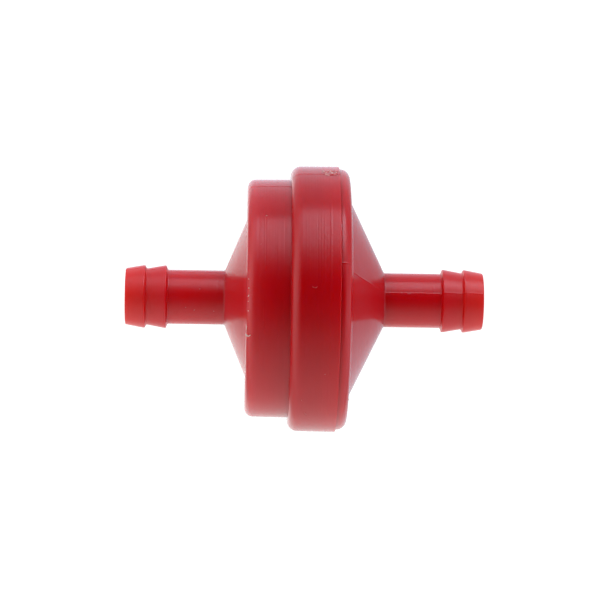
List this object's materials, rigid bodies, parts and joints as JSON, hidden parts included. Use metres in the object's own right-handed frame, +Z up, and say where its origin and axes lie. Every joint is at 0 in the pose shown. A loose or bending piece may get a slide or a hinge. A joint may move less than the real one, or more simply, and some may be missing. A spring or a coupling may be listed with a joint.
{
  "type": "in-line fuel filter",
  "caption": "Round welded in-line fuel filter for a small engine: a flat drum with a woven screen inside and a barbed hose stem at each end.",
  "frame": {"origin": "on the flow axis, midway between the two hose tips", "axes": "+X along the flow axis from the inlet to the outlet; +Y and +Z across it, with +Z up when the fuel line lies level"},
  "size_m": [0.05, 0.0372, 0.0372],
  "materials": {
    "shell": "moulded opaque red nylon, glossy with fine tool marks",
    "frame": "moulded natural nylon, satin",
    "mesh": "woven nylon monofilament"
  },
  "bodies": {
    "root": {"inlet_shell": "shell", "outlet_cap": "shell", "screen_frame": "frame", "mesh_screen": "mesh"}
  },
  "joints": []
}
